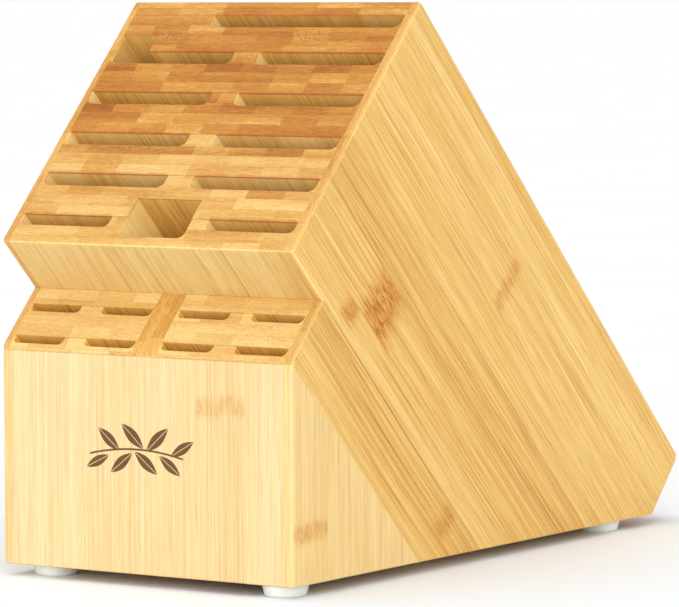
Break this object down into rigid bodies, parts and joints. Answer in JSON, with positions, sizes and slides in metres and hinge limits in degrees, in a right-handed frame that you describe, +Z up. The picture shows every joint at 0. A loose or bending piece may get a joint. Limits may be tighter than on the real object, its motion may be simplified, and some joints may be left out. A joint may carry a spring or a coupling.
{
  "type": "knife block",
  "caption": "Empty slanted bamboo knife block with rows of wide blade slots, a shears well, a steel notch, a lower step of steak-knife slots and rubber feet.",
  "frame": {"origin": "centre of the overall width and depth, at the undersides of the rubber feet", "axes": "+Z up, +X to the right as seen from the front, -Y out of the upright front face; the slots open upwards and towards -Y, 46 degrees above horizontal"},
  "size_m": [0.165, 0.3496, 0.2677],
  "materials": {
    "panel_bamboo": "long-grain bamboo, grain along the slant, satin",
    "slot_bamboo": "laminated bamboo boards, end grain on the slot faces, satin",
    "divider_bamboo": "laminated bamboo, end grain on the step face, satin",
    "front_bamboo": "pale upright-grain bamboo, satin",
    "clear_rubber": "milky translucent soft rubber"
  },
  "bodies": {
    "root": {"side_panel_left": "panel_bamboo", "side_panel_right": "panel_bamboo", "cap_board": "slot_bamboo", "slot_board_row1": "slot_bamboo", "slot_board_row2": "slot_bamboo", "slot_board_row3": "slot_bamboo", "slot_board_row4": "slot_bamboo", "slot_board_row5": "slot_bamboo", "slot_board_row6": "slot_bamboo", "step_side_left": "panel_bamboo", "step_side_right": "panel_bamboo", "step_divider": "divider_bamboo", "step_cover_board_left": "slot_bamboo", "step_cover_board_right": "slot_bamboo", "step_middle_board_left": "slot_bamboo", "step_middle_board_right": "slot_bamboo", "step_lower_board_left": "slot_bamboo", "step_lower_board_right": "slot_bamboo", "wedge_core": "front_bamboo", "wedge_side_left": "front_bamboo", "wedge_side_right": "front_bamboo", "foot_front_left": "clear_rubber", "foot_front_right": "clear_rubber", "foot_rear_left": "clear_rubber", "foot_rear_right": "clear_rubber"}
  },
  "joints": []
}
